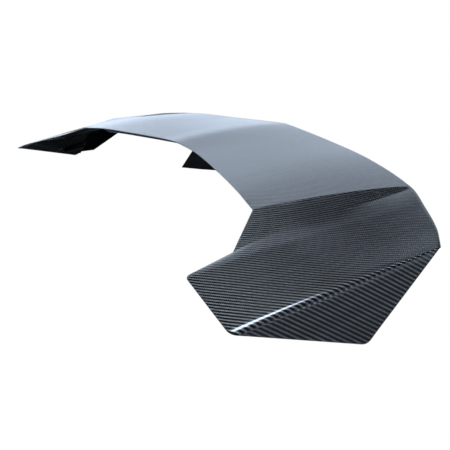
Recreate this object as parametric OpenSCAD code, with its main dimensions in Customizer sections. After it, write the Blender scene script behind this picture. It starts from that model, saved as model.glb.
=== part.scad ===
// Rear wing for a mid-engined road or track car, standing on two pylons and its two end plates.
// Millimetres. X runs across the car, Y towards its tail, Z up. The floor is Z = 0.

/* [Wing outline] */
// Overall width over the two end plates
overall_width = 1560; // [1300:10:1800]
// Overall depth from the foremost corners to the middle of the trailing edge
overall_depth = 520; // [430:10:620]
// Height of the trailing edge in the middle, above the floor
deck_height = 162; // [130:1:200]
// Rise of the deck between its front and rear edges, in the middle
deck_camber = 8; // [0:0.5:16]
// Rise of the deck along the crease where it meets the side band
band_camber = 5; // [0:0.5:12]
// Rise of the crease between the side band and the side panel
panel_camber = 7; // [0:0.5:16]
// Rise of the edge between the side panel and the end plate
end_camber = 2; // [0:0.5:12]

/* [Skins] */
// Thickness of the upper skin
skin_t = 2.2; // [1.6:0.1:4]
// Thickness of the lower and inner skins
inner_t = 1.8; // [1.2:0.1:3]
// Depth of the hollow between the upper and lower skins in the middle
hollow_depth = 15; // [10:0.5:20]
// Depth of the hollow between the skins of the ends
end_hollow_depth = 8; // [4:0.5:10]
// Width of the front rim left free in front of the lower skin
set_back = 3.5; // [2:0.5:8]
// Distance from each corner of the end at which its rounding starts
corner_cut = 9; // [4:1:14]

/* [Pylons] */
// Distance of each pylon from the middle of the wing
pylon_x = 280; // [230:5:340]
// Thickness of the pylon behind its bevelled nose
pylon_t = 24; // [20:1:30]
// Thickness of the pylon at its front edge
pylon_nose_t = 5; // [3:0.5:8]
// Distance of the pylon's rear edge in front of the wing's trailing edge
heel_inset = 11; // [6:0.5:30]
// Length of the foot, measured along Y
foot_len = 127; // [100:1:155]
// Height of the foot's front end above its heel
foot_rise = 25; // [10:1:35]
// Angle of the pylon's front edge from the vertical, in degrees
rake = 39.5; // [20:0.5:45]
// Length of the bevelled nose along the foot
bevel_len = 57; // [30:1:70]
// Thickness of the mounting flange
flange_t = 5; // [4:0.5:8]
// Least thickness of the saddle between the lower skin and the flange
saddle_t = 10; // [8:0.5:16]
// Thickness of the rubber foot gasket
gasket_t = 2; // [1:0.5:4]

/* [Fasteners] */
// Thread diameter of the pylon flange screws
screw_d = 6; // [5:1:8]
// Distance between the front and rear flange screws
screw_pitch = 33; // [26:1:42]
// Length of the threaded inserts in the saddles
saddle_insert_len = 8; // [6:0.5:9]
// Thread diameter of the inserts in the pylon feet
foot_thread_d = 8; // [6:1:10]
// Length of the inserts in the pylon feet
foot_insert_len = 20; // [14:1:28]
// Distance between the two inserts of a foot, along the foot
foot_pitch = 60; // [40:1:74]
// Wall of every insert outside its thread
insert_wall = 1.8; // [1.2:0.1:2.4]
// Thickness of the washers under the flange screws
washer_t = 1.6; // [1:0.1:2.5]

/* [End blocks] */
// Thickness of an end block at the foot corner
block_t = 18; // [14:1:26]
// Height of an end block's flat underside above the foot corner
block_lift = 10; // [9:0.5:14]
// Thread diameter of the inserts in the end blocks
end_thread_d = 6; // [5:1:8]
// Length of the inserts in the end blocks
end_insert_len = 11; // [8:0.5:12]

/* [End webs] */
// Thickness of a web at its free edge
web_t = 2; // [1.4:0.1:4]
// Reach of a web's free lower corner inboard of the foot corner
web_reach = 40; // [24:1:60]

/* [Hidden] */
$fn = 48;
carbon = [0.10, 0.11, 0.13];
dull_carbon = [0.08, 0.08, 0.09];
black = [0.03, 0.03, 0.03];
rubber = [0.05, 0.05, 0.05];
foam = [0.75, 0.70, 0.55];
metal = [0.72, 0.73, 0.75];

// The outline is drawn at the wing's usual size and stretched to the overall sizes.
stretch = [overall_width / 1560, overall_depth / 520, deck_height / 162];
function at(x, y, z) = [x * stretch.x, y * stretch.y, z * stretch.z];

// Stations along the deck's front edge, from the middle to the notch.
front_edge = [at(0, -26, 151), at(101, -26, 144.5), at(259, -50, 139), at(414, -80, 133.5),
    at(514, -100, 124.5)];
// Stations along the rear edge, from the middle to the tip.
rear_edge = [at(0, 260, 162), at(215, 243, 151.5), at(402, 208, 147), at(570, 166, 134.5),
    at(648, 129.5, 123.5), at(716, 92.5, 114), at(758, 62, 108), at(767, 55, 106.5)];
// Corners of the end, seen from above going outwards.
notch = at(597.5, -177.5, 92);
front_corner = at(616.5, -260, 78.5);
low_corner = at(756.5, -260, 48.5);
foot_corner = at(780.5, -74.5, -1.2);
tip = at(767, 55, 106.5);

function mix(a, b, t) = a + (b - a) * t;
function unit(v) = v / norm(v);
function towards(a, b, d) = a + unit(b - a) * d;
// A smooth curve through stations, read at a given X.
function slope(s, i) =
    let (a = max(i - 1, 0), b = min(i + 1, len(s) - 1)) (s[b] - s[a]) / (s[b].x - s[a].x);
function span(s, x, i = 0) = (i >= len(s) - 2 || x <= s[i + 1].x) ? i : span(s, x, i + 1);
function curve(s, x) =
    let (i = span(s, x), a = s[i], b = s[i + 1], h = b.x - a.x, t = (x - a.x) / h)
    a * (2 * pow(t, 3) - 3 * pow(t, 2) + 1) + b * (3 * pow(t, 2) - 2 * pow(t, 3))
    + slope(s, i) * h * (pow(t, 3) - 2 * pow(t, 2) + t)
    + slope(s, i + 1) * h * (pow(t, 3) - pow(t, 2));

// Rails run from the front boundary to the rear boundary. Each is
// [front point, rear point, rise in the middle, rise near the front].
notch_x = front_edge[4].x;
corner_x = rear_edge[3].x;
crease_gap = 4;
spread = (corner_x - crease_gap) / notch_x;

// The rails beside a pylon and the rows over it follow the pylon's flange.
screw_clear = 1.5;
screw_dx = pylon_t / 2 + screw_d + screw_clear;
flange_w = 2 * (screw_dx + screw_d + screw_clear);
saddle_margin = 4;
flange_share = 0.84;
function front_x(x) = x / mix(1, spread, flange_share);
pylon_rail = front_x(pylon_x);
pylon_rail_low = front_x(pylon_x - flange_w / 2 - saddle_margin);
pylon_rail_high = front_x(pylon_x + flange_w / 2 + saddle_margin);
heel_y = curve(rear_edge, pylon_x).y - heel_inset;
screw_y2 = heel_y + 2 - 2 * screw_d - screw_clear * 2 - 4;
screw_y1 = screw_y2 - screw_pitch;
flange_rear = heel_y + 2;
flange_front = screw_y1 - 2 * screw_d;
pylon_front_y = curve(front_edge, pylon_rail).y;
pylon_chord = curve(rear_edge, pylon_rail * spread).y - pylon_front_y;
saddle_row = (flange_front - saddle_margin - pylon_front_y) / pylon_chord;

// Strip of the upper skin left clear beside the crease, and the width of a bonded flange.
crease_strip = 14;
bond_w = 14;
rib_w = 24;
spar_share = 0.03;
skin_edge_x = notch_x - crease_strip;
bond_x = skin_edge_x - bond_w;
deck_x = [0, rib_w / 2, pylon_rail_low * 0.36, pylon_rail_low * 0.7, pylon_rail_low, pylon_rail,
    pylon_rail_high, mix(pylon_rail_high, bond_x, 0.4), mix(pylon_rail_high, bond_x, 0.77),
    bond_x, skin_edge_x, notch_x];
deck_rails = [for (x = deck_x) let (s = x / notch_x)
    [curve(front_edge, x), curve(rear_edge, x * spread), mix(deck_camber, band_camber, s), 0]];
panel_front = [notch, mix(notch, front_corner, 0.15), mix(notch, front_corner, 0.28),
    mix(notch, front_corner, 0.6), towards(front_corner, notch, corner_cut),
    towards(front_corner, low_corner, corner_cut),
    mix(front_corner, low_corner, 0.38), mix(front_corner, low_corner, 0.7),
    towards(low_corner, front_corner, corner_cut)];
panel_share = [0, 0.05, 0.11, 0.22, 0.34, 0.38, 0.6, 0.8, 0.96];
panel_rails = [for (i = [0:8])
    [panel_front[i], curve(rear_edge, mix(corner_x + crease_gap, tip.x, panel_share[i])), 0,
        mix(panel_camber, end_camber, panel_share[i])]];
edge_front = mix(towards(low_corner, front_corner, corner_cut * 0.29),
    towards(low_corner, foot_corner, corner_cut * 0.29), 0.5);
edge_rail = [[edge_front, tip, 0, end_camber]];
plate_share = [0.047, 0.16, 0.36, 0.52, 0.58, 0.64, 0.68, 0.9, 0.965];
plate_rails = [for (w = plate_share)
    [mix(low_corner, foot_corner, w), mix(tip, foot_corner, w), 0, end_camber * (1 - w)]];
rails = concat(deck_rails, panel_rails, edge_rail, plate_rails);

// Rail numbers that the pieces meet at.
last_deck = 10;
first_panel = 13;
last_inner = 27;
last = len(rails) - 1;
// Rows along each rail, as shares of its length.
rows = [0, set_back / pylon_chord, 0.045, 0.105, 0.2, 0.28, 0.28 + spar_share, 0.42, 0.54,
    saddle_row - spar_share - 0.05, saddle_row - spar_share, saddle_row,
    mix(saddle_row, 0.9, 0.53), 0.9, 0.955, 0.985, 1];
last_row = len(rows) - 1;

function rise(r, v) = r[2] * 4 * v * (1 - v) + r[3] * 6.75 * v * pow(1 - v, 2);
function half_point(i, j) = let (r = rails[i], v = rows[j]) mix(r[0], r[1], v) + [0, 0, rise(r, v)];
function outer(i, j) = let (p = half_point(abs(i), j)) i < 0 ? [-p.x, p.y, p.z] : p;
// Direction into the skin at a grid point, long enough to keep both neighbouring faces
// at one depth below the surface.
function face_normal(i, k, j) =
    unit(cross(outer(k, j) - outer(i, j),
        outer(i, min(j + 1, last_row)) - outer(i, max(j - 1, 0))));
function inward(i, j) =
    let (a = face_normal(max(i - 1, -last), max(i, 1 - last), j),
        b = face_normal(min(i, last - 1), min(i + 1, last), j))
    -(a + b) / (1 + a * b);
function layer(i, j, depth) = outer(i, j) + inward(i, j) * depth;

// Closed solid between a list of top points and a list of bottom points on one grid,
// n points along each row and m rows. Cells on the right of the middle are cut along the
// other diagonal, so that both halves match.
module grid_solid(top, bottom, n, m, first) {
    half = n * m;
    lower = half * [1, 1, 1];
    cells = [for (a = [0:n - 2], b = [0:m - 2]) let (p = a * m + b, q = p + m)
        each first + a < 0 ? [[p, p + 1, q], [p + 1, q + 1, q]] : [[p, q + 1, q], [p, p + 1, q + 1]]];
    turned = [for (c = cells) [c[0], c[2], c[1]] + lower];
    rim = concat([for (a = [0:n - 2]) a * m], [for (b = [0:m - 2]) (n - 1) * m + b],
        [for (a = [n - 1:-1:1]) a * m + m - 1], [for (b = [m - 1:-1:1]) b]);
    count = len(rim);
    wall = [for (k = [0:count - 1]) let (p = rim[k], q = rim[(k + 1) % count])
        each p < q ? [[p, q, q + half], [p, q + half, p + half]] : [[p, q, p + half], [q, q + half, p + half]]];
    polyhedron(points = concat(top, bottom), faces = concat(cells, turned, wall));
}

// A skin or core piece between two depths below the outer surface, over rails i0 to i1
// and rows j0 to j1. The hollow deepens it by gap_low and gap_high times the local hollow.
module layer_piece(i0, i1, j0, j1, d0, d1, g0, g1) {
    n = i1 - i0 + 1;
    m = j1 - j0 + 1;
    top = [for (i = [i0:i1], j = [j0:j1]) layer(i, j, d0 + g0 * hollow(i, j))];
    low = [for (i = [i0:i1], j = [j0:j1]) layer(i, j, d1 + g1 * hollow(i, j))];
    grid_solid(top, low, n, m, i0);
}

// Depth of the hollow at a grid point: none along the bonded flanges.
function hollow(i, j) = let (a = abs(i)) a <= last_deck ? middle_hollow(a, j) : end_hollow(a, j);
function middle_hollow(a, j) = (a >= 9 || j <= 2 || j >= 13) ? 0
    : (j == 12 ? 0.6 : 1) * hollow_depth;
function end_hollow(a, j) = (a <= first_panel + 1 || a >= last_inner - 1 || j <= 3 || j >= 13) ? 0
    : (a == first_panel + 2 || j == 4 || j == 12) ? 0.6 * end_hollow_depth : end_hollow_depth;

module upper_skin() {
    color(carbon) layer_piece(-last, last, 0, last_row, 0, skin_t, 0, 0);
}

module lower_skin_center() {
    color(dull_carbon) layer_piece(-last_deck, last_deck, 1, 15, skin_t, skin_t + inner_t, 1, 1);
}

module inner_skin_left() {
    color(dull_carbon) layer_piece(first_panel, last_inner, 2, 15, skin_t, skin_t + inner_t, 1, 1);
}

module inner_skin_right() {
    color(dull_carbon) layer_piece(-last_inner, -first_panel, 2, 15, skin_t, skin_t + inner_t, 1, 1);
}

// Foam strips inside the middle hollow, filling it from skin to skin.
module front_spar() {
    color(foam) layer_piece(-8, 8, 5, 6, skin_t, skin_t, 0, 1);
}

module rear_spar() {
    color(foam) layer_piece(-8, 8, 10, 11, skin_t, skin_t, 0, 1);
}

module rib_center() {
    color(foam) layer_piece(-1, 1, 6, 10, skin_t, skin_t, 0, 1);
}

module rib_left() {
    color(foam) layer_piece(5, 6, 6, 10, skin_t, skin_t, 0, 1);
}

module rib_right() {
    color(foam) layer_piece(-6, -5, 6, 10, skin_t, skin_t, 0, 1);
}

// Bonded wedge between the lower skin and a pylon's flat flange.
saddle_low = 4;
saddle_high = 6;
saddle_front = 11;
saddle_rear = 15;
function saddle_top(i0, i1) = [for (i = [i0:i1], j = [saddle_front:saddle_rear])
    layer(i, j, skin_t + inner_t + hollow(i, j))];
flange_z = min([for (p = saddle_top(saddle_low, saddle_high)) p.z]) - saddle_t;
module saddle_block(i0, i1) {
    top = saddle_top(i0, i1);
    low = [for (p = top) [p.x, p.y, flange_z]];
    grid_solid(top, low, i1 - i0 + 1, saddle_rear - saddle_front + 1, i0);
}

module at_screws(x) {
    for (dx = [-screw_dx, screw_dx], y = [screw_y1, screw_y2]) translate([x + dx, y, flange_z]) children();
}

module saddle(i0, i1, x) {
    color(dull_carbon) difference() {
        saddle_block(i0, i1);
        at_screws(x) translate([0, 0, -1]) cylinder(r = screw_d / 2 + insert_wall, h = saddle_insert_len + 1);
    }
}

module saddle_left() {
    saddle(saddle_low, saddle_high, pylon_x);
}

module saddle_right() {
    saddle(-saddle_high, -saddle_low, -pylon_x);
}

module tube(r_out, r_in, h) {
    difference() {
        cylinder(r = r_out, h = h);
        translate([0, 0, -1]) cylinder(r = r_in, h = h + 2);
    }
}

module saddle_inserts() {
    color(metal) for (x = [-pylon_x, pylon_x])
        at_screws(x) tube(screw_d / 2 + insert_wall, screw_d / 2, saddle_insert_len);
}

// Pylon, drawn in the plane of its side: first number along Y, second along Z.
foot_front_y = heel_y - foot_len;
foot_angle = atan2(foot_rise, foot_len);
function foot_point(s, up) =
    [foot_front_y + s * cos(foot_angle) + up * sin(foot_angle),
        foot_rise - s * sin(foot_angle) + up * cos(foot_angle)];
function heel_point(up) = foot_point((foot_len - up * sin(foot_angle)) / cos(foot_angle), up);
function nose_y(z) = foot_front_y + (z - foot_rise) * tan(rake);
nose_foot = foot_point(gasket_t * tan(rake - foot_angle), gasket_t);
flange_low = flange_z - flange_t;
foot_middle = foot_len / cos(foot_angle) / 2;

module side_plate(t, points) {
    rotate([90, 0, 90]) linear_extrude(t, center = true) polygon(points);
}

// Upright strip parallel to the front edge, dy behind it and t thick.
module raked_strip(dy, t) {
    side_plate(t, [[nose_y(-10) + dy, -10], [nose_y(-10) + dy + 0.5, -10],
        [nose_y(flange_z) + dy + 0.5, flange_z], [nose_y(flange_z) + dy, flange_z]]);
}

// Full-height blade with a bevelled nose, before its foot and top are cut.
module blade() {
    hull() {
        raked_strip(0, pylon_nose_t);
        raked_strip(bevel_len, pylon_t);
    }
    side_plate(pylon_t, [[nose_y(-10) + bevel_len, -10], [heel_y + 50, -10], [heel_y + 50, flange_z],
        [nose_y(flange_z) + bevel_len, flange_z]]);
}

module at_foot_threads(up) {
    for (s = [-0.5, 0.5]) {
        p = foot_point(foot_middle + s * foot_pitch, up);
        translate([0, p[0], p[1]]) rotate([-foot_angle, 0, 0]) children();
    }
}

foot_wall = insert_wall + 0.2;
module pylon() {
    foot_r = foot_thread_d / 2 + foot_wall;
    color(black) difference() {
        union() {
            intersection() {
                blade();
                side_plate(pylon_t + 2, [nose_foot, heel_point(gasket_t), [heel_y, flange_z - 1],
                    [nose_y(flange_z - 1), flange_z - 1]]);
            }
            translate([-flange_w / 2, flange_front, flange_low])
                cube([flange_w, flange_rear - flange_front, flange_t]);
        }
        at_screws(0) translate([0, 0, -flange_t - 1]) cylinder(r = screw_d / 2 + 0.3, h = flange_t + 2);
        at_foot_threads(gasket_t) translate([0, 0, -1]) cylinder(r = foot_r, h = foot_insert_len + 1);
    }
}

module pylon_left() {
    translate([pylon_x, 0, 0]) pylon();
}

module pylon_right() {
    translate([-pylon_x, 0, 0]) pylon();
}

module pylon_washers() {
    color(metal) for (x = [-pylon_x, pylon_x])
        at_screws(x) translate([0, 0, -flange_t - washer_t]) tube(screw_d, screw_d / 2 + 0.2, washer_t);
}

// Button-head screw pointing up, the underside of its head at Z = 0.
module screw(len) {
    difference() {
        union() {
            translate([0, 0, -screw_d * 0.55]) cylinder(r = screw_d * 0.88, h = screw_d * 0.55);
            cylinder(r = screw_d / 2 - 0.1, h = len);
        }
        translate([0, 0, -screw_d * 0.55 - 1]) cylinder(r = screw_d * 0.33, h = screw_d * 0.35 + 1, $fn = 6);
    }
}

module pylon_screws() {
    color(metal) for (x = [-pylon_x, pylon_x])
        at_screws(x) translate([0, 0, -flange_t - washer_t]) screw(flange_t + washer_t + saddle_insert_len - 1);
}

module foot_gasket() {
    color(rubber) difference() {
        intersection() {
            blade();
            side_plate(pylon_t + 2, [foot_point(0, 0), heel_point(0), heel_point(gasket_t), nose_foot]);
        }
        at_foot_threads(0) translate([0, 0, -2]) cylinder(r = foot_thread_d / 2 + 0.6, h = gasket_t + 4);
    }
}

module foot_gasket_left() {
    translate([pylon_x, 0, 0]) foot_gasket();
}

module foot_gasket_right() {
    translate([-pylon_x, 0, 0]) foot_gasket();
}

module foot_inserts() {
    color(metal) for (x = [-pylon_x, pylon_x]) translate([x, 0, 0])
        at_foot_threads(gasket_t) tube(foot_thread_d / 2 + foot_wall, foot_thread_d / 2, foot_insert_len);
}

// Fixing block bonded to the inside of an end plate, flat inside and below. Its thread
// opens downwards.
block_low = 28;
block_high = 29;
block_front = 4;
block_rear = 12;
block_x = foot_corner.x - skin_t - block_t - 8;
block_z = foot_corner.z + block_lift;
thread_x = block_x + end_thread_d / 2 + insert_wall + 3.5;
thread_y = (outer(block_low, block_front).y + outer(block_low, block_rear).y
    + outer(block_high, block_front).y + outer(block_high, block_rear).y) / 4;
module end_block(side) {
    rails_here = side > 0 ? [block_low, block_high] : [-block_high, -block_low];
    plate = [for (i = rails_here, j = [block_front:block_rear]) layer(i, j, skin_t)];
    flat = [for (p = plate) [side * block_x, p.y, p.z]];
    color(metal * 0.5) difference() {
        grid_solid(plate, flat, 2, block_rear - block_front + 1, rails_here[0]);
        translate([side * foot_corner.x - 50, thread_y - 60, block_z - 30]) cube([100, 120, 30]);
        end_thread(side) translate([0, 0, -1]) cylinder(r = end_thread_d / 2 + insert_wall, h = end_insert_len + 1);
    }
}

// Axis of an end thread, its mouth at Z = 0 and the block above it.
module end_thread(side) {
    translate([side * thread_x, thread_y, block_z]) children();
}

module end_block_left() {
    end_block(1);
}

module end_block_right() {
    end_block(-1);
}

module end_inserts() {
    color(metal) for (side = [-1, 1])
        end_thread(side) tube(end_thread_d / 2 + insert_wall, end_thread_d / 2, end_insert_len);
}

// Web that closes each end towards the tail. Its root is bonded along the rear of the panel and
// of the end plate, and it thins to a free edge that runs from the panel down to the foot.
web_first = 17;
web_last = 29;
web_share = [0, 0.15, 0.32, 0.48, 0.52, 0.56, 0.64, 0.75, 0.85, 0.89, 0.93, 0.96, 1];
web_top = at(664, 106, 111);
web_corner = foot_corner + [-web_reach, 49.5 * stretch.y, 17.2 * stretch.z];
web_side = unit(cross(tip - foot_corner, web_top - foot_corner));
function web_depth(a) = a <= last_inner ? skin_t + inner_t : skin_t;
function web_root(i, j) = layer(i, j, web_depth(abs(i)));
function web_edge(i, lift) =
    let (p = mix(web_top, web_corner, web_share[abs(i) - web_first]) + web_side * lift)
    i < 0 ? [-p.x, p.y, p.z] : p;
module end_web(i0, i1) {
    color(dull_carbon) grid_solid(
        [for (i = [i0:i1]) each [web_root(i, 15), web_edge(i, 0)]],
        [for (i = [i0:i1]) each [web_root(i, abs(i) > 24 ? 13 : 14), web_edge(i, web_t)]],
        i1 - i0 + 1, 2, i0);
}

module end_web_left() {
    end_web(web_first, web_last);
}

module end_web_right() {
    end_web(-web_last, -web_first);
}

upper_skin();
lower_skin_center();
inner_skin_left();
inner_skin_right();
front_spar();
rear_spar();
rib_center();
rib_left();
rib_right();
saddle_left();
saddle_right();
saddle_inserts();
pylon_left();
pylon_right();
pylon_screws();
pylon_washers();
foot_gasket_left();
foot_gasket_right();
foot_inserts();
end_block_left();
end_block_right();
end_inserts();
end_web_left();
end_web_right();
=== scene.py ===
"""Rear wing of a road or track car: carbon skins on two pylons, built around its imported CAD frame."""

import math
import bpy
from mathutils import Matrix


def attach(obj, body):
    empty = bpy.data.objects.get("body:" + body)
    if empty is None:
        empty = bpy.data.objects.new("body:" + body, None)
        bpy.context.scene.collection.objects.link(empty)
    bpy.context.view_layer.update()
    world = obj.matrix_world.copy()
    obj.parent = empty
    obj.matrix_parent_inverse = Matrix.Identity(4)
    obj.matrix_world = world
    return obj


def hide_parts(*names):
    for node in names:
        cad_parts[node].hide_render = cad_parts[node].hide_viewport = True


bl_info = {
    "name": "Rear Wing",
    "version": (1, 0, 0),
    "blender": (4, 5, 0),
    "location": "View3D > Sidebar > Wing",
    "description": "Builds a folded carbon rear wing with its pylons, skins and fixings",
    "category": "Object",
}

import bmesh
import bpy
from bpy.props import FloatProperty, FloatVectorProperty, PointerProperty
from mathutils import Matrix, Vector

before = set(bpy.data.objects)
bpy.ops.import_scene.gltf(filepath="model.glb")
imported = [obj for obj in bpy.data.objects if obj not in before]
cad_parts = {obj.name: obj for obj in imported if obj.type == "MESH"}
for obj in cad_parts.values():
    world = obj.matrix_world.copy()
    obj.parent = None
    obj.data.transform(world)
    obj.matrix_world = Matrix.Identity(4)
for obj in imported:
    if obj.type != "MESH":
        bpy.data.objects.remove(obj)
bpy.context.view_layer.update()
BODY = "root"
MM = 0.001

# ---------------------------------------------------------------- the folded surface, in millimetres

# Stations along the deck's front edge, and along the whole rear edge, from the middle outwards.
FRONT_EDGE = [Vector(p) for p in (
    (0, -26, 151), (101, -26, 144.5), (259, -50, 139), (414, -80, 133.5), (514, -100, 124.5))]
REAR_EDGE = [Vector(p) for p in (
    (0, 260, 162), (215, 243, 151.5), (402, 208, 147), (570, 166, 134.5), (648, 129.5, 123.5),
    (716, 92.5, 114), (758, 62, 108), (767, 55, 106.5))]
NOTCH = Vector((597.5, -177.5, 92))
FRONT_CORNER = Vector((616.5, -260, 78.5))
LOW_CORNER = Vector((756.5, -260, 48.5))
FOOT_CORNER = Vector((780.5, -74.5, -1.2))
TIP = Vector((767, 55, 106.5))
DECK_END = 514.0
REAR_A = 566.0
REAR_B = 574.0
CORNER_CUT = 9.0
BOND_LINE = 0.12  # adhesive between the lower skin and what it closes, in millimetres
CREASE_REACH = 0.6  # how far a crease's rounding reaches along its faces, as a share of its radius
WELD = 2e-3  # points closer than this are one, in millimetres
DECK_CAMBER, BAND_CAMBER, PANEL_CAMBER, END_CAMBER = 8.0, 5.0, 7.0, 2.0
# Share of the rear edge's outer length that each point of the panel's front border runs to.
SHARE_KNOTS = [(0, 0), (0.15, 0.05), (0.28, 0.11), (0.6, 0.22), (0.895, 0.34), (1.063, 0.38),
    (1.38, 0.6), (1.7, 0.8), (1.937, 0.96), (2, 1)]


def mix(a, b, t):
    return a + (b - a) * t


def slope(stations, i):
    a, b = stations[max(i - 1, 0)], stations[min(i + 1, len(stations) - 1)]
    return (b - a) / (b.x - a.x)


def curve(stations, x):
    """Point of the smooth curve through the stations at a given X."""
    i = 0
    while i < len(stations) - 2 and x > stations[i + 1].x:
        i += 1
    a, b = stations[i], stations[i + 1]
    h = b.x - a.x
    t = (x - a.x) / h
    return (a * (2 * t**3 - 3 * t**2 + 1) + b * (3 * t**2 - 2 * t**3)
        + slope(stations, i) * h * (t**3 - 2 * t**2 + t) + slope(stations, i + 1) * h * (t**3 - t**2))


def knots(pairs, x):
    """Monotone smooth interpolation through (x, y) pairs."""
    if x <= pairs[0][0]:
        return pairs[0][1]
    if x >= pairs[-1][0]:
        return pairs[-1][1]
    i = max(k for k in range(len(pairs) - 1) if pairs[k][0] <= x)
    grade = [(b[1] - a[1]) / (b[0] - a[0]) for a, b in zip(pairs, pairs[1:])]

    def tangent(k):
        if k in (0, len(pairs) - 1):
            return grade[min(k, len(grade) - 1)]
        a, b = grade[k - 1], grade[k]
        return 0.0 if a * b <= 0 else 2 * a * b / (a + b)

    (x0, y0), (x1, y1) = pairs[i], pairs[i + 1]
    h = x1 - x0
    t = (x - x0) / h
    return (y0 * (2 * t**3 - 3 * t**2 + 1) + y1 * (3 * t**2 - 2 * t**3)
        + tangent(i) * h * (t**3 - 2 * t**2 + t) + tangent(i + 1) * h * (t**3 - t**2))


def linear(pairs, x):
    """Straight-line interpolation through (x, y) pairs."""
    for (x0, y0), (x1, y1) in zip(pairs, pairs[1:]):
        if x <= x1:
            return mix(y0, y1, max(0.0, (x - x0) / (x1 - x0)))
    return pairs[-1][1]


def bend(a, corner, b, t):
    """Quadratic curve from a to b that is tangent to both sides of a corner."""
    return a * (1 - t) ** 2 + corner * (2 * t * (1 - t)) + b * t**2


def raised(front, rear, v, even, forward):
    """Point of a chord line with its camber: an even rise and one that peaks towards the front."""
    p = mix(front, rear, v)
    p.z += even * 4 * v * (1 - v) + forward * 6.75 * v * (1 - v) ** 2
    return p


def deck(t, v, ridge):
    """Deck point. The middle is rounded over a ridge width, so the two halves meet softly."""
    x = math.hypot(t * DECK_END, ridge) if t < 0.35 else t * DECK_END
    if t < 0.35:
        x = mix(x, t * DECK_END, knots([(0, 0), (0.35, 1)], t))
    p = raised(curve(FRONT_EDGE, x), curve(REAR_EDGE, x * REAR_A / DECK_END), v,
        mix(DECK_CAMBER, BAND_CAMBER, t), 0)
    flat = raised(curve(FRONT_EDGE, t * DECK_END), curve(REAR_EDGE, t * REAR_A), v, 0, 0)
    return Vector((flat.x, flat.y, p.z))


def crease_a(v):
    return raised(curve(FRONT_EDGE, DECK_END), curve(REAR_EDGE, REAR_A), v, BAND_CAMBER, 0)


def crease_b(v):
    return raised(NOTCH, curve(REAR_EDGE, REAR_B), v, 0, PANEL_CAMBER)


def crease_d(v):
    return raised(LOW_CORNER, TIP, v, 0, END_CAMBER)


def band(t, v):
    return mix(crease_a(v), crease_b(v), t)


def panel_border(s):
    """Front border of the panel: s from 0 at the notch, 1 at the front corner, 2 at the low corner."""
    one, two = (FRONT_CORNER - NOTCH).length, (LOW_CORNER - FRONT_CORNER).length
    low, high = 1 - CORNER_CUT / one, 1 + CORNER_CUT / two
    if s <= low:
        return mix(NOTCH, FRONT_CORNER, s)
    if s >= high:
        return mix(FRONT_CORNER, LOW_CORNER, s - 1)
    return bend(mix(NOTCH, FRONT_CORNER, low), FRONT_CORNER, mix(FRONT_CORNER, LOW_CORNER, high - 1),
        (s - low) / (high - low))


def panel(s, v):
    share = knots(SHARE_KNOTS, s)
    return raised(panel_border(s), curve(REAR_EDGE, mix(REAR_B, TIP.x, share)), v, 0,
        mix(PANEL_CAMBER, END_CAMBER, share))


FOOT_START = 0.93


def plate(w, v):
    """End plate point: w from 0 at the edge to 1 at the rounded foot corner."""
    if w <= FOOT_START:
        return raised(mix(LOW_CORNER, FOOT_CORNER, w), mix(TIP, FOOT_CORNER, w), v, 0, END_CAMBER * (1 - w))
    share = (w - FOOT_START) / (1 - FOOT_START)
    low = mix(FOOT_START, 0.955, share)
    front, rear = mix(LOW_CORNER, FOOT_CORNER, low), mix(TIP, FOOT_CORNER, low)
    straight = raised(front, rear, v, 0, 0)
    return mix(straight, bend(front, FOOT_CORNER, rear, v), share)


def step_back(zone, end, inward, distance, v):
    """Parameter of the zone's point that lies a distance inside its end."""
    reach = (zone(end + inward * 0.04, v) - zone(end, v)).length / 0.04
    return end + inward * distance / reach


def row_of_points(v, sizes):
    """All points of the half surface along one row, with the rail number of each column."""
    ridge = sizes.ridge_width / MM
    near_a = near_b = sizes.crease_radius / MM * CREASE_REACH
    near_d = mix(sizes.edge_radius_front, sizes.edge_radius_rear, v) / MM
    middle = lambda t, w: deck(t, w, ridge)
    out = []

    def strip(zone, start, stop, count, kind):
        for k in range(count):
            t = mix(start, stop, k / count)
            out.append((zone(t, v), kind, t))

    def fillet(before, t0, corner, after, t1, count, kind):
        a, b = before(t0, v), after(t1, v)
        for k in range(count):
            out.append((bend(a, corner(v), b, k / count), kind, k / count))

    a0 = step_back(middle, 1, -1, near_a, v)
    a1 = step_back(band, 0, 1, near_a, v)
    b0 = step_back(band, 1, -1, near_b, v)
    b1 = step_back(panel, 0, 1, near_b, v)
    d0 = step_back(panel, 2, -1, near_d, v)
    d1 = step_back(plate, 0, 1, near_d, v)
    strip(middle, 0, a0 * 0.985, 54, "deck")
    strip(middle, a0 * 0.985, a0, 2, "deck")
    fillet(middle, a0, crease_a, band, a1, 6, "fold_a")
    strip(band, a1, b0, 12, "band")
    fillet(band, b0, crease_b, panel, b1, 6, "fold_b")
    strip(panel, b1, 0.86, 9, "panel")
    strip(panel, 0.86, 1.1, 9, "panel")
    strip(panel, 1.1, d0, 13, "panel")
    fillet(panel, d0, crease_d, plate, d1, 12, "fold_d")
    strip(plate, d1, FOOT_START, 18, "plate")
    strip(plate, FOOT_START, 1, 4, "plate")
    out.append((plate(1, v), "plate", 1.0))
    return out


def unfold_frame(low, high, low_uv, high_uv, beyond):
    """Maps points past a fold to cloth coordinates, as if the fold were opened flat."""
    along = (high - low).normalized()
    along_uv = (high_uv - low_uv).normalized()
    across = beyond - low
    across = (across - along * across.dot(along)).normalized()
    across_uv = Vector((along_uv.y, -along_uv.x))
    return lambda p: low_uv + along_uv * (p - low).dot(along) + across_uv * (p - low).dot(across)


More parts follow.
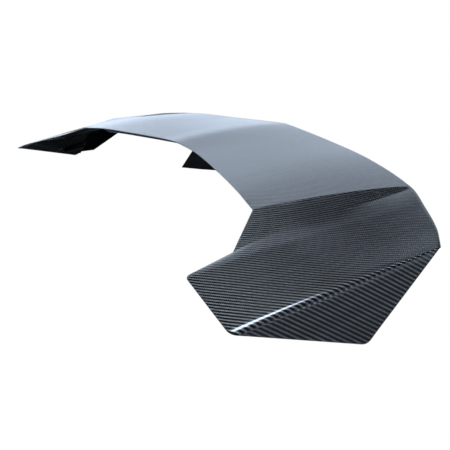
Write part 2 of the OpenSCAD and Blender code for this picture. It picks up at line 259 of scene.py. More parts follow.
def cloth_maps():
    """Cloth coordinates of every zone: the deck lies flat and each fold opens onto the next zone."""
    flat = lambda p: Vector((p.x, p.y))
    a, b, d = [(c(0), c(1)) for c in (crease_a, crease_b, crease_d)]
    on_band = unfold_frame(*a, flat(a[0]), flat(a[1]), crease_b(0.4))
    on_panel = unfold_frame(*b, on_band(b[0]), on_band(b[1]), crease_d(0.4))
    on_plate = unfold_frame(*d, on_panel(d[0]), on_panel(d[1]), FOOT_CORNER)
    return {"deck": flat, "fold_a": flat, "band": on_band, "fold_b": on_band, "panel": on_panel,
        "fold_d": on_panel, "plate": on_plate}


# Rows of the frame's own grid, which the lower skins' borders and hollows follow.
ROW_KNOTS = [0, 0.0111, 0.045, 0.105, 0.2, 0.28, 0.31, 0.42, 0.54, 0.65, 0.70, 0.73, 0.82, 0.9, 0.955, 0.985, 1]
ROW_COUNT = 56
RELAX_PASSES = 60
SORT_AXIS = Vector((1.0, 0.377, 0.1319))  # an uneven direction, so that points seldom tie
RIM_TURN = (30, 60, 90)  # steps of a rim's rounding, in degrees


class Surface:
    """The half surface as a relaxed grid of points, with normals and cloth coordinates."""

    def __init__(self, sizes):
        self.rows = [j / ROW_COUNT for j in range(ROW_COUNT + 1)]
        grid = [row_of_points(v, sizes) for v in self.rows]
        self.columns = len(grid[0])
        self.kinds = [c[1] for c in grid[0]]
        self.places = [c[2] for c in grid[0]]
        maps = cloth_maps()
        bm = bmesh.new()
        bmesh.ops.create_grid(bm, x_segments=self.columns - 1, y_segments=ROW_COUNT, size=1)
        order = sorted(bm.verts, key=lambda q: (round(q.co.y, 5), round(q.co.x, 5)))
        for n, vert in enumerate(order):
            vert.co = grid[n // self.columns][n % self.columns][0]
        bm.verts.index_update()
        inner = [order[j * self.columns + i] for j in range(1, ROW_COUNT) for i in range(self.columns)
            if self.kinds[i] == "panel" and self.kinds[i - 1] == "panel" and self.kinds[i + 1] == "panel"]
        for _ in range(RELAX_PASSES):
            bmesh.ops.smooth_vert(bm, verts=inner, factor=0.5, use_axis_x=True, use_axis_y=True, use_axis_z=True)
        bm.normal_update()
        up = 1 if order[len(order) // 4].normal.z > 0 else -1
        self.points = [[order[j * self.columns + i].co.copy() for i in range(self.columns)]
            for j in range(ROW_COUNT + 1)]
        self.normals = [[order[j * self.columns + i].normal * up for i in range(self.columns)]
            for j in range(ROW_COUNT + 1)]
        for j in range(ROW_COUNT + 1):
            n = self.normals[j][0]
            self.normals[j][0] = Vector((0, n.y, n.z)).normalized()
        self.cloth = [[maps[self.kinds[i]](p) for i, p in enumerate(row)] for row in self.points]
        bm.free()


_surface = {}


def surface():
    if "half" not in _surface:
        _surface["half"] = Surface(bpy.context.scene.wing_sizes)
    return _surface["half"]


def shell(name, cols, rows, depth_at, thickness, edge_round, mirror):
    """Closed shell over a block of the surface: its outer side lies a depth below the surface,
    its rim is rounded, and mirror joins the other half or makes the other side's copy."""
    s = surface()
    width, height = len(cols), len(rows)
    bm = bmesh.new()
    uv = bm.loops.layers.uv.new("cloth")
    mark = bm.verts.layers.int.new("seed")
    bmesh.ops.create_grid(bm, x_segments=width - 1, y_segments=height - 1, size=1)
    order = sorted(bm.verts, key=lambda q: (round(q.co.y, 5), round(q.co.x, 5)))
    for n, vert in enumerate(order):
        i, j = cols[n % width], rows[n // width]
        vert.co = s.points[j][i] - s.normals[j][i] * depth_at(i, j)
        vert[mark] = n
    place = [q.co.copy() for q in order]
    normal = [s.normals[rows[n // width]][cols[n % width]] for n in range(len(order))]
    bound = {}
    for n, vert in enumerate(order):
        if not vert.is_boundary:
            continue
        i, j = n % width, n // width
        if mirror == "join" and i == 0 and 0 < j < height - 1:
            continue
        toward = Vector()
        if i == 0 and mirror != "join":
            toward -= (place[n + 1] - place[n]).normalized()
        if i == width - 1:
            toward += (place[n] - place[n - 1]).normalized()
        if j == 0:
            toward -= (place[n + width] - place[n]).normalized()
        if j == height - 1:
            toward += (place[n] - place[n - width]).normalized()
        if mirror == "join" and i == 0:
            toward.x = 0
        # Across the border, not along it.
        sides = [e.other_vert(vert) for e in vert.link_edges if e.is_boundary]
        if mirror == "join" and i == 0:
            along = Vector((1, 0, 0))
        else:
            along = (place[sides[0][mark]] - place[sides[1][mark]]).normalized()
        toward = toward - along * toward.dot(along)
        toward = toward - normal[n] * toward.dot(normal[n])
        bound[n] = toward.normalized() if toward.length > 1e-6 else Vector()
    for face in bm.faces:
        for loop in face.loops:
            n = loop.vert[mark]
            loop[uv].uv = s.cloth[rows[n // width]][cols[n % width]] * MM

    def lie(n, down, pull):
        return place[n] - normal[n] * down - bound.get(n, Vector()) * pull

    top_faces = list(bm.faces)
    copy = bmesh.ops.duplicate(bm, geom=top_faces)["geom"]
    bottom = [g for g in copy if isinstance(g, bmesh.types.BMFace)]
    bottom_verts = {q for f in bottom for q in f.verts}
    top_verts = {q for f in top_faces for q in f.verts}
    for q in top_verts:
        q.co = lie(q[mark], 0, edge_round)
    for q in bottom_verts:
        q.co = lie(q[mark], thickness, edge_round)
    bmesh.ops.reverse_faces(bm, faces=bottom)
    closing = mirror == "join"
    rim = [e for f in top_faces for e in f.edges if e.is_boundary
        and not (closing and all(q[mark] % width == 0 for q in e.verts))]
    rim = list(dict.fromkeys(rim))
    turn = [math.radians(a) for a in RIM_TURN]
    rings = [(edge_round * (1 - math.cos(a)), edge_round * (1 - math.sin(a))) for a in turn]
    rings += [(thickness - down, pull) for down, pull in reversed(rings)]
    rings.append((thickness, edge_round))
    for down, pull in rings:
        made = bmesh.ops.extrude_edge_only(bm, edges=rim)["geom"]
        rim = [g for g in made if isinstance(g, bmesh.types.BMEdge)]
        for q in (g for g in made if isinstance(g, bmesh.types.BMVert)):
            q.co = lie(q[mark], down, pull)
    walls = set(top_faces) | set(bottom)
    for f in bm.faces:
        f.material_index = 0 if f in walls else 1
    last = {q for e in rim for q in e.verts}
    bmesh.ops.remove_doubles(bm, verts=list(last | bottom_verts), dist=WELD)
    for f in bm.faces:
        for loop in f.loops:
            if loop[uv].uv.length == 0:
                n = loop.vert[mark]
                loop[uv].uv = s.cloth[rows[n // width]][cols[n % width]] * MM
    if closing:
        bmesh.ops.mirror(bm, geom=bm.verts[:] + bm.edges[:] + bm.faces[:], axis="X", merge_dist=WELD)
    elif mirror == "swap":
        bmesh.ops.scale(bm, vec=(-1, 1, 1), verts=bm.verts)
    bmesh.ops.recalc_face_normals(bm, faces=bm.faces)
    bmesh.ops.scale(bm, vec=(MM, MM, MM), verts=bm.verts)
    # Numbered by place, because the operators' own order changes from run to run. The exact sum keeps a
    # face's key the same whichever corner it starts from.
    bm.verts.sort(key=lambda q: q.co.dot(SORT_AXIS))
    bm.faces.sort(key=lambda f: math.fsum(q.co.dot(SORT_AXIS) for q in f.verts) / len(f.verts))
    return finished(name, bm)


def finished(name, bm, smooth=True):
    """Turns a bmesh into a piece at the origin."""
    mesh = bpy.data.meshes.new(name)
    bm.to_mesh(mesh)
    bm.free()
    for face in mesh.polygons:
        face.use_smooth = smooth
    piece = bpy.data.objects.new(name, mesh)
    bpy.context.scene.collection.objects.link(piece)
    return piece


def settle(piece, material, slot, *nodes):
    """Gives a piece its finish and ties it to the frame."""
    count = 1 + max((face.material_index for face in piece.data.polygons), default=0)
    piece.data.materials.clear()
    piece.data.materials.append(material)
    if count > 1:
        piece.data.materials.append(finish_of("cut_edge"))
    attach(piece, BODY)
    if nodes:
        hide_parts(*nodes)
    return piece


def softened_copy(node, name, width, segments=3, angle=25):
    """Copy of a CAD node with its corners rounded by a bevel."""
    bm = bmesh.new()
    bm.from_mesh(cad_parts[node].data)
    bmesh.ops.remove_doubles(bm, verts=bm.verts, dist=1e-6)
    bmesh.ops.dissolve_limit(bm, angle_limit=math.radians(1), verts=bm.verts, edges=bm.edges)
    sharp = [e for e in bm.edges if len(e.link_faces) == 2 and e.calc_face_angle(0) > math.radians(angle)]
    bmesh.ops.bevel(bm, geom=sharp, offset=width, offset_type="OFFSET", segments=segments, profile=0.5,
        affect="EDGES", material=-1, clamp_overlap=True)
    bmesh.ops.recalc_face_normals(bm, faces=bm.faces)
    piece = finished(name, bm)
    piece.data.set_sharp_from_angle(angle=math.radians(35))
    return piece


# ---------------------------------------------------------------- finishes


def lay_cloth(piece):
    """Cloth map for a nearly flat piece: its own plane's two directions, in metres."""
    data = piece.data
    side = data.vertices[0].co.x
    normal = sum((p.normal * p.area for p in data.polygons if p.normal.x * side > 0), Vector())
    normal.normalize()
    along = normal.cross(Vector((0, 0, 1))).normalized()
    across = normal.cross(along)
    layer = data.uv_layers.new(name="cloth")
    for loop in data.loops:
        co = data.vertices[loop.vertex_index].co
        layer.data[loop.index].uv = (co.dot(along) + co.dot(across), co.dot(across) - co.dot(along))


class Net:
    """Short-hand for laying out shader nodes."""

    def __init__(self, name):
        self.material = bpy.data.materials.new(name)
        self.material.use_nodes = True
        self.tree = self.material.node_tree
        self.shader = self.tree.nodes["Principled BSDF"]

    def node(self, kind, **settings):
        made = self.tree.nodes.new(kind)
        for key, value in settings.items():
            setattr(made, key, value)
        return made

    def feed(self, socket, value):
        if isinstance(value, bpy.types.NodeSocket):
            self.tree.links.new(value, socket)
        else:
            socket.default_value = value

    def math(self, operation, *values, clamp=False):
        made = self.node("ShaderNodeMath", operation=operation, use_clamp=clamp)
        for socket, value in zip(made.inputs, values):
            self.feed(socket, value)
        return made.outputs[0]

    def mix_value(self, factor, a, b):
        made = self.node("ShaderNodeMix", data_type="FLOAT")
        for socket, value in zip(made.inputs[:4], (factor, None, a, b)):
            if value is not None:
                self.feed(socket, value)
        self.feed(made.inputs["A"], a)
        self.feed(made.inputs["B"], b)
        return made.outputs["Result"]

    def mix_colour(self, factor, a, b):
        made = self.node("ShaderNodeMix", data_type="RGBA")
        self.feed(made.inputs[0], factor)
        self.feed(made.inputs[6], a)
        self.feed(made.inputs[7], b)
        return made.outputs[2]

    def noise(self, vector, scale, detail=2, roughness=0.5, dimensions="3D"):
        made = self.node("ShaderNodeTexNoise", noise_dimensions=dimensions)
        if vector is not None:
            self.feed(made.inputs["Vector"], vector)
        self.feed(made.inputs["Scale"], scale)
        self.feed(made.inputs["Detail"], detail)
        self.feed(made.inputs["Roughness"], roughness)
        return made.outputs["Fac"]

    def bump(self, height, distance, strength=1.0):
        made = self.node("ShaderNodeBump")
        self.feed(made.inputs["Height"], height)
        self.feed(made.inputs["Distance"], distance)
        self.feed(made.inputs["Strength"], strength)
        return made.outputs["Normal"]


def colour(values):
    return (*values, 1.0)


# Fibres shine by their own colour, and stay dark at a glancing angle; the warp's brighter colour in that is
# painted sheen.
FIBRE_METALLIC = 0.9
FIBRE_EDGE_TINT = (0.25, 0.25, 0.25, 1.0)


def carbon(name, tow, warp, weft, roughness, coat, coat_roughness, bump_depth):
    """Two-by-two twill cloth of flat fibre tows in resin, read from the piece's cloth map. The warp tows carry a
    lit colour and the weft tows a shaded one, as painted sheen, and each tow is darker at its edges and float
    ends, as painted shade.
    """
    net = Net(name)
    place = net.node("ShaderNodeUVMap", uv_map="cloth").outputs["UV"]
    split = net.node("ShaderNodeSeparateXYZ")
    net.feed(split.inputs[0], place)
    u = net.math("DIVIDE", split.outputs["X"], tow)
    v = net.math("DIVIDE", split.outputs["Y"], tow)
    i, j = net.math("FLOOR", u), net.math("FLOOR", v)
    fu, fv = net.math("SUBTRACT", u, i), net.math("SUBTRACT", v, j)
    step = net.math("FLOORED_MODULO", net.math("ADD", net.math("SUBTRACT", i, j), 0.25), 4.0)
    step = net.math("FLOOR", step)
    warp_up = net.math("LESS_THAN", step, 1.5)
    # How far along its float, and how far across the tow, the point lies.
    warp_along = net.math("MULTIPLY", net.math("ADD", net.math("SUBTRACT", 1.0, step), fv), 0.5)
    weft_along = net.math("MULTIPLY", net.math("ADD", net.math("SUBTRACT", step, 2.0), fu), 0.5)
    along = net.mix_value(warp_up, weft_along, warp_along)
    across = net.mix_value(warp_up, fv, fu)
    crown = net.math("SINE", net.math("MULTIPLY", along, math.pi))
    edge = net.math("ABSOLUTE", net.math("SUBTRACT", net.math("MULTIPLY", across, 2.0), 1.0))
    round_tow = net.math("SUBTRACT", 1.0, net.math("POWER", edge, 3.0))
    height = net.math("MULTIPLY", net.math("ADD", crown, 0.4), round_tow)
    # Every tow has its own shade, and carries fine streaks of fibre along its length.
    tow_number = net.mix_value(warp_up, net.math("ADD", j, 1000.5), i)
    own = net.node("ShaderNodeTexWhiteNoise", noise_dimensions="1D")
    net.feed(own.inputs["W"], tow_number)
    join = net.node("ShaderNodeCombineXYZ")
    net.feed(join.inputs["X"], net.math("MULTIPLY", across, 14.0))
    net.feed(join.inputs["Y"], net.math("MULTIPLY", along, 1.2))
    net.feed(join.inputs["Z"], tow_number)
    streak = net.noise(join.outputs[0], 1.0, 3, 0.6)
    # Warp tows get a lit colour and weft tows a shaded one: painted sheen of one fibre, which in the real cloth
    # turns with the light.
    base = net.mix_colour(warp_up, colour(weft), colour(warp))
    shade = net.math("ADD", net.math("MULTIPLY", own.outputs["Value"], 0.35), net.math("MULTIPLY", streak, 0.5))
    # Darker towards each tow's edges and towards the ends of its float: painted shade of the tow's curve, on top
    # of the tow's own random tone.
    shade = net.math("MULTIPLY", net.math("ADD", shade, 0.55),
        net.math("ADD", 0.3, net.math("MULTIPLY", round_tow, 0.7)))
    shade = net.math("MULTIPLY", shade, net.math("ADD", 0.12, net.math("MULTIPLY", crown, 1.15)))
    tint = net.node("ShaderNodeMix", data_type="RGBA", blend_type="MULTIPLY")
    net.feed(tint.inputs[0], 1.0)
    net.feed(tint.inputs[6], base)
    grey = net.node("ShaderNodeCombineColor")
    for socket in grey.inputs:
        net.feed(socket, shade)
    net.feed(tint.inputs[7], grey.outputs[0])
    net.feed(net.shader.inputs["Base Color"], tint.outputs[2])
    net.feed(net.shader.inputs["Roughness"],
        net.math("ADD", roughness, net.math("MULTIPLY", net.math("SUBTRACT", streak, 0.5), 0.2), clamp=True))
    net.feed(net.shader.inputs["Normal"], net.bump(height, bump_depth))
    net.shader.inputs["Coat Weight"].default_value = coat
    net.shader.inputs["Coat Roughness"].default_value = coat_roughness
    net.shader.inputs["Coat IOR"].default_value = 1.5
    net.shader.inputs["IOR"].default_value = 1.45
    net.shader.inputs["Metallic"].default_value = FIBRE_METALLIC
    net.shader.inputs["Specular Tint"].default_value = FIBRE_EDGE_TINT
    if coat:
        where = net.node("ShaderNodeTexCoord").outputs["Object"]
        peel = net.noise(where, 70.0, 2)
        net.feed(net.shader.inputs["Coat Normal"], net.bump(peel, 0.00004))
    return net.material


def moulded(name, dark, light, grain_scale, roughness, spread, bump_depth, coat=0.0, metallic=0.0,
        specular=0.5):
    """Even material with a fine grain, patchy shine and slight relief, on Object coordinates."""
    net = Net(name)
    where = net.node("ShaderNodeTexCoord").outputs["Object"]
    grain = net.noise(where, grain_scale, 3, 0.6)
    cloud = net.noise(where, grain_scale * 0.04, 3, 0.5)
    net.feed(net.shader.inputs["Base Color"], net.mix_colour(cloud, colour(dark), colour(light)))
    rough = net.math("ADD", roughness, net.math("MULTIPLY", net.math("SUBTRACT", grain, 0.5), spread), clamp=True)
    rough = net.math("ADD", rough, net.math("MULTIPLY", net.math("SUBTRACT", cloud, 0.5), spread), clamp=True)
    net.feed(net.shader.inputs["Roughness"], rough)
    net.feed(net.shader.inputs["Normal"], net.bump(grain, bump_depth))
    net.shader.inputs["Coat Weight"].default_value = coat
    net.shader.inputs["Coat Roughness"].default_value = 0.08
    net.shader.inputs["Metallic"].default_value = metallic
    net.shader.inputs["Specular IOR Level"].default_value = specular
    return net.material


def foam_core(name, dark, light, cell):
    """Closed-cell foam: small rounded cells with darker walls."""
    net = Net(name)
    where = net.node("ShaderNodeTexCoord").outputs["Object"]
    cells = net.node("ShaderNodeTexVoronoi", feature="F1")
    net.feed(cells.inputs["Vector"], where)
    net.feed(cells.inputs["Scale"], 1.0 / cell)
    distance = cells.outputs["Distance"]
    net.feed(net.shader.inputs["Base Color"],
        net.mix_colour(net.math("MULTIPLY", distance, 1.3, clamp=True), colour(light), colour(dark)))
    net.shader.inputs["Roughness"].default_value = 0.85
    net.feed(net.shader.inputs["Normal"], net.bump(distance, cell * 0.2))
    return net.material


_finish = {}


def finish_of(name):
    """One shared material of the wing, made the first time it is asked for."""
    if name not in _finish:
        look = bpy.context.scene.wing_finish
        makers = {
            "carbon_gloss": lambda: carbon("carbon_gloss", look.tow_width, look.warp_lit_colour, look.weft_shaded_colour,
                look.cloth_roughness, 1.0, look.coat_roughness, look.weave_depth),
            "carbon_dark": lambda: carbon("carbon_dark", look.tow_width, look.inner_warp_lit_colour,
                look.inner_weft_shaded_colour, 0.45, 0.9, 0.10, look.weave_depth * 1.5),
            "pylon_black": lambda: moulded("pylon_black", (0.004, 0.004, 0.005), (0.010, 0.010, 0.012), 900.0,
                0.32, 0.25, 0.00004, 0.5),
            "saddle_resin": lambda: moulded("saddle_resin", (0.012, 0.012, 0.013), (0.026, 0.026, 0.028), 1200.0,
                0.5, 0.25, 0.00006),
            "cut_edge": lambda: moulded("cut_edge", (0.003, 0.003, 0.003), (0.012, 0.012, 0.013), 1400.0,
                0.62, 0.2, 0.00003, specular=0.12),
            "rubber": lambda: moulded("rubber", (0.010, 0.010, 0.010), (0.022, 0.022, 0.023), 1500.0, 0.75, 0.2,
                0.00008),
            "steel": lambda: moulded("steel", (0.50, 0.51, 0.53), (0.62, 0.62, 0.63), 2500.0, 0.30, 0.25, 0.00002,
                0.0, 1.0),
            "block": lambda: moulded("block", (0.05, 0.05, 0.055), (0.085, 0.085, 0.09), 1800.0,
                0.42, 0.2, 0.00003, 0.0, 0.8),
            "foam": lambda: foam_core("foam", (0.45, 0.38, 0.22), (0.78, 0.70, 0.48), 0.0012),
        }
        _finish[name] = makers[name]()
    return _finish[name]


# ---------------------------------------------------------------- sizes and colours


class WingSizes(bpy.types.PropertyGroup):
    """Thicknesses and roundings that the frame leaves to the finished skins."""

    skin_thickness: FloatProperty(name="Skin Thickness", description="Thickness of the upper skin",
        default=0.0022, min=0.001, max=0.004, unit="LENGTH", precision=4)
    inner_thickness: FloatProperty(name="Inner Skin Thickness",
        description="Thickness of the lower and inner skins", default=0.0018, min=0.001, max=0.003,
        unit="LENGTH", precision=4)
    hollow_depth: FloatProperty(name="Hollow Depth", description="Depth of the hollow under the deck",
        default=0.015, min=0.01, max=0.02, unit="LENGTH", precision=4)
    end_hollow_depth: FloatProperty(name="End Hollow Depth", description="Depth of the hollow inside the ends",
        default=0.008, min=0.004, max=0.01, unit="LENGTH", precision=4)
    rim_radius: FloatProperty(name="Rim Radius", description="Rounding of the skins' trimmed edges",
        default=0.0009, min=0.0002, max=0.001, unit="LENGTH", precision=4)
    crease_radius: FloatProperty(name="Crease Radius", description="Rounding of the two creases beside the deck",
        default=0.0045, min=0.002, max=0.01, unit="LENGTH", precision=4)
    edge_radius_front: FloatProperty(name="Edge Radius Front",
        description="Reach of the rounding over the end plate's edge, at its front", default=0.014, min=0.004,
        max=0.02, unit="LENGTH", precision=4)
    edge_radius_rear: FloatProperty(name="Edge Radius Rear",
        description="Reach of the rounding over the end plate's edge, at its rear", default=0.003, min=0.002,
        max=0.02, unit="LENGTH", precision=4)
    ridge_width: FloatProperty(name="Ridge Width", description="Rounding over the middle of the deck",
        default=0.022, min=0.005, max=0.05, unit="LENGTH", precision=4)
    corner_radius: FloatProperty(name="Pylon Corner", description="Rounding of the pylons' corners",
        default=0.0012, min=0.0003, max=0.002, unit="LENGTH", precision=4)


class WingFinish(bpy.types.PropertyGroup):
    """Cloth and resin of the skins."""

    tow_width: FloatProperty(name="Tow Width", description="Width of one flat fibre tow", default=0.002,
        min=0.001, max=0.004, unit="LENGTH", precision=4)
    weave_depth: FloatProperty(name="Weave Depth", description="Relief of the tows", default=0.00018, min=0.0,
        max=0.001, unit="LENGTH", precision=5)
    # Warp and weft colours below are lit and shaded copies of one fibre, for the outer and the inner skins: the
    # warp's brighter colour is painted sheen, the weft's darker one painted shade.
    warp_lit_colour: FloatVectorProperty(name="Warp", description="Shade of the tows that run fore and aft",
        default=(0.215, 0.209, 0.204), subtype="COLOR", min=0, max=1, size=3)
    weft_shaded_colour: FloatVectorProperty(name="Weft", description="Shade of the tows that run across",
        default=(0.006, 0.006, 0.006), subtype="COLOR", min=0, max=1, size=3)
    inner_warp_lit_colour: FloatVectorProperty(name="Inner Warp", description="Warp shade of the inner skins",
        default=(0.110, 0.108, 0.106), subtype="COLOR", min=0, max=1, size=3)
    inner_weft_shaded_colour: FloatVectorProperty(name="Inner Weft", description="Weft shade of the inner skins",
        default=(0.010, 0.010, 0.010), subtype="COLOR", min=0, max=1, size=3)
    cloth_roughness: FloatProperty(name="Cloth Roughness", description="Roughness of the fibres", default=0.34,
        min=0, max=1, subtype="FACTOR")
    coat_roughness: FloatProperty(name="Coat Roughness", description="Roughness of the clear coat", default=0.045,
        min=0, max=1, subtype="FACTOR")


class WingStage(bpy.types.PropertyGroup):
    """Camera, light and floor."""

    focal_length: FloatProperty(name="Focal Length", description="Lens of the camera, in millimetres",
        default=56.0, min=20, max=200)
    room_light: FloatProperty(name="Room Light", description="Brightness of the room around the wing",
        default=0.04, min=0, max=5)
    window_light: FloatProperty(name="Wall Light",
        description="Brightness of the large soft light behind the wing", default=1.02, min=0, max=40)
    strip_light: FloatProperty(name="Overhead Light", description="Brightness of the small light above",
        default=20.0, min=0, max=60)
    key_light: FloatProperty(name="Key Light", description="Brightness of the soft light on the camera's side",
        default=0.10, min=0, max=20)
    light_colour: FloatVectorProperty(name="Light Colour", description="Tint of the room's light",
        default=(0.84, 0.99, 1.20), subtype="COLOR", min=0, max=2, size=3)
    floor_bounce: FloatProperty(name="Floor Bounce", description="Share of its light that the floor throws back",
        default=0.36, min=0, max=1, subtype="FACTOR")
    floor_colour: FloatVectorProperty(name="Floor", description="Colour of the floor", default=(1.0, 1.0, 1.0),
        subtype="COLOR", min=0, max=1, size=3)


# ---------------------------------------------------------------- operators

RAILS = {
    "deck": [(0, 0), (0.0233, 1), (0.164, 2), (0.319, 3), (0.456, 4), (0.50, 5), (0.547, 6), (0.707, 7),
        (0.844, 8), (0.9455, 9), (0.9728, 10), (1.0, 11)],
    "panel": [(0, 12), (0.15, 13), (0.28, 14), (0.6, 15), (0.895, 16), (1.063, 17), (1.38, 18), (1.7, 19),
        (1.937, 20), (2, 21)],
    "plate": [(0, 21), (0.047, 22), (0.16, 23), (0.36, 24), (0.52, 25), (0.58, 26), (0.64, 27), (0.68, 28),
        (0.9, 29), (0.965, 30)],
}


def rail_of(i):
    """Rail number of the frame's grid that a column of the surface lies on."""
    s = surface()
    kind, t = s.kinds[i], s.places[i]
    if kind in RAILS:
        return linear(RAILS[kind], t)
    return {"fold_a": 11.0, "band": 11.5, "fold_b": 12.0, "fold_d": 20.9 + 0.2 * t}[kind]


def row_number(j):
    return linear([(v, n) for n, v in enumerate(ROW_KNOTS)], surface().rows[j])


def columns_between(low, high):
    return [i for i in range(surface().columns) if low - 1e-6 <= rail_of(i) <= high + 1e-6]


def rows_between(low, high):
    return [j for j in range(ROW_COUNT + 1) if low - 1e-6 <= row_number(j) <= high + 1e-6]


def middle_hollow(i, j):
    side = linear([(0, 1), (8, 1), (9, 0), (40, 0)], rail_of(i))
    chord = linear([(0, 0), (2, 0), (3, 1), (11, 1), (12, 0.6), (13, 0), (16, 0)], row_number(j))
    return side * chord


def end_hollow(i, j):
    side = linear([(0, 0), (14, 0), (15, 0.6), (16, 1), (25, 1), (26, 0), (40, 0)], rail_of(i))
    chord = linear([(0, 0), (3, 0), (4, 0.6), (5, 1), (11, 1), (12, 0.6), (13, 0), (16, 0)], row_number(j))
    return min(side, chord)


class WING_OT_upper_skin(bpy.types.Operator):
    """Builds the folded outer skin in one piece"""

    bl_idname = "wing.upper_skin"
    bl_label = "Upper Skin"

    def execute(self, context):
        sizes = context.scene.wing_sizes
        s = surface()
        piece = shell("upper_skin_shell", list(range(s.columns)), list(range(ROW_COUNT + 1)), lambda i, j: 0.0,
            sizes.skin_thickness / MM, sizes.rim_radius / MM, "join")
        settle(piece, finish_of("carbon_gloss"), "carbon_gloss", "upper_skin")
        return {"FINISHED"}


class WING_OT_lower_skin(bpy.types.Operator):
    """Builds the skin under the deck, with its hollow"""

    bl_idname = "wing.lower_skin"
    bl_label = "Lower Skin"

    def execute(self, context):
        sizes = context.scene.wing_sizes
        skin, hollow = sizes.skin_thickness / MM, sizes.hollow_depth / MM
        piece = shell("lower_skin_shell", columns_between(0, 10), rows_between(1, 15),
            lambda i, j: skin + BOND_LINE + hollow * middle_hollow(i, j), sizes.inner_thickness / MM,
            sizes.rim_radius / MM * 0.7, "join")
        settle(piece, finish_of("carbon_dark"), "carbon_dark", "lower_skin_center")
        return {"FINISHED"}


class WING_OT_inner_skins(bpy.types.Operator):
    """Builds the two inner skins of the ends"""

    bl_idname = "wing.inner_skins"
    bl_label = "Inner Skins"

    def execute(self, context):
        sizes = context.scene.wing_sizes
        skin, hollow = sizes.skin_thickness / MM, sizes.end_hollow_depth / MM
        for side, mirror in (("left", "none"), ("right", "swap")):
            piece = shell(f"inner_skin_shell_{side}", columns_between(13, 27), rows_between(2, 15),
                lambda i, j: skin + hollow * end_hollow(i, j), sizes.inner_thickness / MM,
                sizes.rim_radius / MM * 0.7, mirror)
            settle(piece, finish_of("carbon_dark"), "carbon_dark", f"inner_skin_{side}")
        return {"FINISHED"}


class WING_OT_end_webs(bpy.types.Operator):
    """Builds the webs that close the back of the ends"""

    bl_idname = "wing.end_webs"
    bl_label = "End Webs"

    def execute(self, context):
        for side in ("left", "right"):
            piece = softened_copy(f"end_web_{side}", f"end_web_shell_{side}", 0.0005)
            lay_cloth(piece)
            settle(piece, finish_of("carbon_dark"), "carbon_dark", f"end_web_{side}")
        return {"FINISHED"}


class WING_OT_pylons(bpy.types.Operator):
    """Builds the pylons, their saddles and their foot gaskets"""

    bl_idname = "wing.pylons"
    bl_label = "Pylons"

    def execute(self, context):
        sizes = context.scene.wing_sizes
        for side in ("left", "right"):
            settle(softened_copy(f"pylon_{side}", f"pylon_blade_{side}", sizes.corner_radius, 3, 12),
                finish_of("pylon_black"), "pylon_black", f"pylon_{side}")
            settle(softened_copy(f"saddle_{side}", f"saddle_block_{side}", 0.0008),
                finish_of("saddle_resin"), "carbon_dark", f"saddle_{side}")
            settle(softened_copy(f"foot_gasket_{side}", f"foot_pad_{side}", 0.0004),
                finish_of("rubber"), "rubber", f"foot_gasket_{side}")
        return {"FINISHED"}


class WING_OT_fixings(bpy.types.Operator):
    """Builds the end blocks, screws, washers and threaded inserts"""

    bl_idname = "wing.fixings"
    bl_label = "Fixings"

    def execute(self, context):
        for side in ("left", "right"):
            settle(softened_copy(f"end_block_{side}", f"fixing_block_{side}", 0.001),
                finish_of("block"), "block", f"end_block_{side}")
        for node, name, width in (("pylon_screws", "flange_screws", 0.0006),
                ("pylon_washers", "flange_washers", 0.0003)):
            settle(softened_copy(node, name, width), finish_of("steel"), "steel", node)
        for node in ("saddle_inserts", "foot_inserts", "end_inserts"):
            settle(softened_copy(node, f"{node}_threaded", 0.0003), finish_of("steel"), "steel", node)
        return {"FINISHED"}


class WING_OT_cores(bpy.types.Operator):
    """Finishes the foam spars and ribs inside the hollow"""

    bl_idname = "wing.cores"
    bl_label = "Foam Cores"

    def execute(self, context):
        for node in ("front_spar", "rear_spar", "rib_center", "rib_left", "rib_right"):
            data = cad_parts[node].data
            data.materials.clear()
            data.materials.append(finish_of("foam"))
        return {"FINISHED"}


def ramp(net, value, dark, bright):
    """Smooth rise from 0 at one value to 1 at the other."""
    made = net.node("ShaderNodeMapRange", interpolation_type="SMOOTHSTEP")
    net.feed(made.inputs["Value"], value)
    low, high = min(dark, bright), max(dark, bright)
    made.inputs["From Min"].default_value = low
    made.inputs["From Max"].default_value = high
    made.inputs["To Min"].default_value = 0.0 if dark < bright else 1.0
    made.inputs["To Max"].default_value = 1.0 if dark < bright else 0.0
    return made.outputs[0]


def glow_towards(net, ray, elevation, azimuth, reach, core):
    """Round soft light in one direction: full inside the core, gone beyond the reach, in degrees."""
    e, a = math.radians(elevation), math.radians(azimuth)
    dot = net.node("ShaderNodeVectorMath", operation="DOT_PRODUCT")
    net.feed(dot.inputs[0], ray)
    dot.inputs[1].default_value = (math.cos(e) * math.cos(a), math.cos(e) * math.sin(a), math.sin(e))
    return ramp(net, dot.outputs["Value"], math.cos(math.radians(reach)), math.cos(math.radians(core)))


# Wall light, in degrees: elevations where it dims, its brow's height and turn, and the turns it fades over.
WALL_TOP, WALL_END = (33.0, 27.5), (290.0, 250.0)
BROW_LOW, BROW_RISE, BROW_BLUR, BROW_TURN = 32.0, 11.0, 2.5, (139.5, 150.0)
# Its brightness by turn: least at the tail, then two gains towards the far side.
WALL_LEAST, TAIL_SIDE, TAIL_GAIN, FAR_SIDE, FAR_GAIN = 0.82, (134.0, 160.0), 0.26, (160.0, 172.0), 0.5
# Elevation and azimuth of each round light, then where it ends and where it is full, in degrees.
OVERHEAD = (80.0, 156.0, 11.5, 4.0)
KEY = (38.0, 320.0, 42.0, 14.0)


class WorldNet(Net):
    """The same short-hand for the room's light."""

    def __init__(self, world):
        world.use_nodes = True
        self.tree = world.node_tree
        self.tree.nodes.clear()


